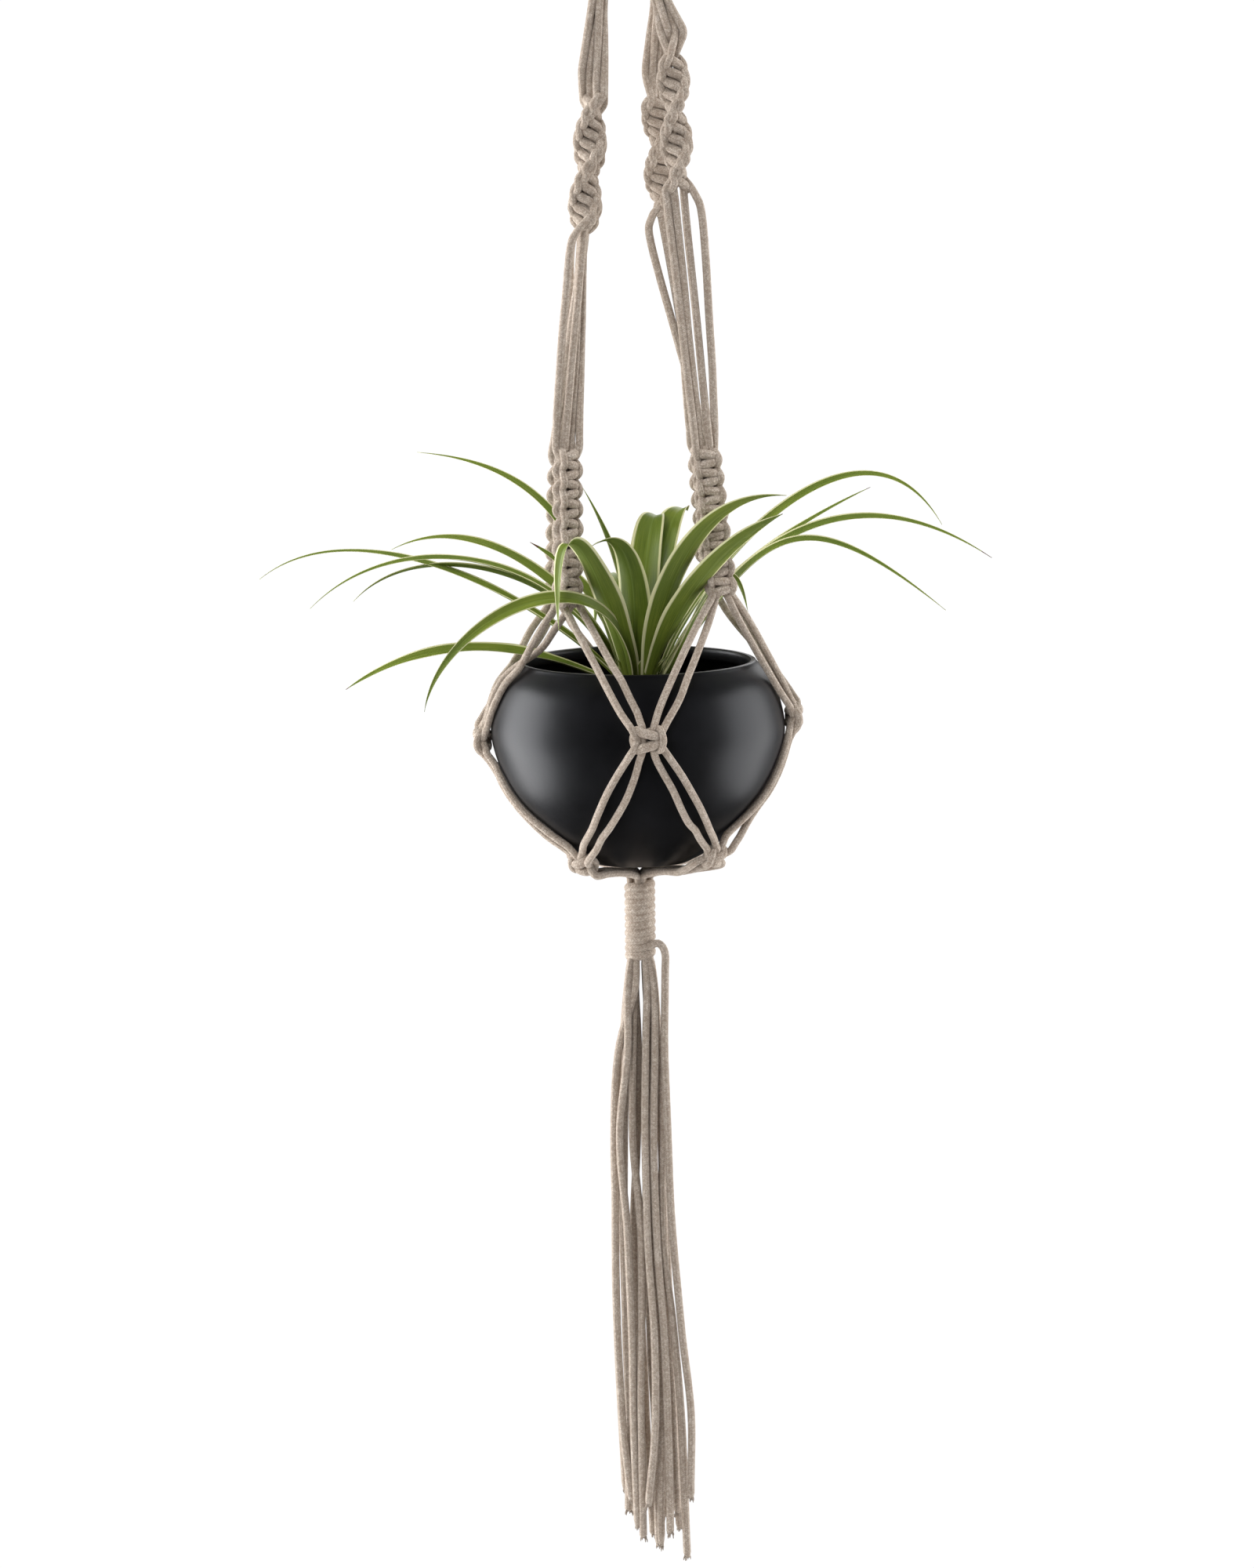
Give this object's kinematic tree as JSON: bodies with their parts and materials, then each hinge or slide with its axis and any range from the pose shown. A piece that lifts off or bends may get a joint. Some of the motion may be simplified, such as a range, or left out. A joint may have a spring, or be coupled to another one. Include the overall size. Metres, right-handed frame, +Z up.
{
  "type": "hanging macrame planter",
  "caption": "Knotted cotton cord hanger on a ring, holding a round black pot with a striped leafy plant above a wrapped tassel.",
  "frame": {"origin": "the highest point of the ring's inner edge, where a hook carries the planter", "axes": "+Z up, the ring's flat plane in X and Z, -Y to the front, the tassel hanging along -Z"},
  "size_m": [0.3725, 0.1958, 0.898],
  "materials": {
    "cotton_cord": "braided matte cotton",
    "ring_metal": "satin",
    "pot_glaze": "satin black",
    "soil": "loose peat",
    "leaf": "waxy leaf with cream margins"
  },
  "bodies": {
    "ring": {"hanging_ring": "ring_metal"},
    "cord_folds": {"left_cord_folds": "cotton_cord", "right_cord_folds": "cotton_cord"},
    "harness": {"back_left_base_cords": "cotton_cord", "back_left_base_knot": "cotton_cord", "back_left_flat_sinnet": "cotton_cord", "back_left_middle_cords": "cotton_cord", "back_left_net_legs": "cotton_cord", "back_left_spiral_sinnet": "cotton_cord", "back_left_upper_cords": "cotton_cord", "back_lower_legs": "cotton_cord", "back_net_knot": "cotton_cord", "back_right_base_cords": "cotton_cord", "back_right_base_knot": "cotton_cord", "back_right_flat_sinnet": "cotton_cord", "back_right_middle_cords": "cotton_cord", "back_right_net_legs": "cotton_cord", "back_right_spiral_sinnet": "cotton_cord", "back_right_upper_cords": "cotton_cord", "front_left_base_cords": "cotton_cord", "front_left_base_knot": "cotton_cord", "front_left_flat_sinnet": "cotton_cord", "front_left_middle_cords": "cotton_cord", "front_left_net_legs": "cotton_cord", "front_left_spiral_sinnet": "cotton_cord", "front_left_upper_cords": "cotton_cord", "front_lower_legs": "cotton_cord", "front_net_knot": "cotton_cord", "front_right_base_cords": "cotton_cord", "front_right_base_knot": "cotton_cord", "front_right_flat_sinnet": "cotton_cord", "front_right_middle_cords": "cotton_cord", "front_right_net_legs": "cotton_cord", "front_right_spiral_sinnet": "cotton_cord", "front_right_upper_cords": "cotton_cord", "leaf_back_right": "leaf", "leaf_left_low": "leaf", "leaf_right_high": "leaf", "leaves_back_left": "leaf", "leaves_centre_upright": "leaf", "leaves_front_arching": "leaf", "leaves_left_high": "leaf", "leaves_left_long": "leaf", "leaves_right_front": "leaf", "leaves_right_long": "leaf", "leaves_right_low": "leaf", "left_lower_legs": "cotton_cord", "left_net_knot": "cotton_cord", "plant_crown": "leaf", "plant_pot": "pot_glaze", "potting_soil": "soil", "right_lower_legs": "cotton_cord", "right_net_knot": "cotton_cord"},
    "wrap": {"gathering_wrap": "cotton_cord"},
    "tassel": {"front_left_tassel_cords": "cotton_cord", "front_right_tassel_cords": "cotton_cord", "back_right_tassel_cords": "cotton_cord", "back_left_tassel_cords": "cotton_cord", "wrap_tail": "cotton_cord"}
  },
  "joints": [
    {"name": "swing_side", "type": "hinge", "parent": "ring", "child": "cord_folds", "pos_m": [0, 0, -0.02], "axis": [0, 1, 0], "range_deg": [-20, 20]},
    {"name": "swing_front", "type": "hinge", "parent": "cord_folds", "child": "harness", "pos_m": [0, 0, -0.0425], "axis": [1, 0, 0], "range_deg": [-15, 15]},
    {"name": "wrap_tilt", "type": "hinge", "parent": "harness", "child": "wrap", "pos_m": [0, 0, -0.5362], "axis": [1, 0, 0], "range_deg": [-15, 15]},
    {"name": "tassel_sway", "type": "hinge", "parent": "wrap", "child": "tassel", "pos_m": [0, 0, -0.5772], "axis": [0, 1, 0], "range_deg": [-20, 20]}
  ]
}
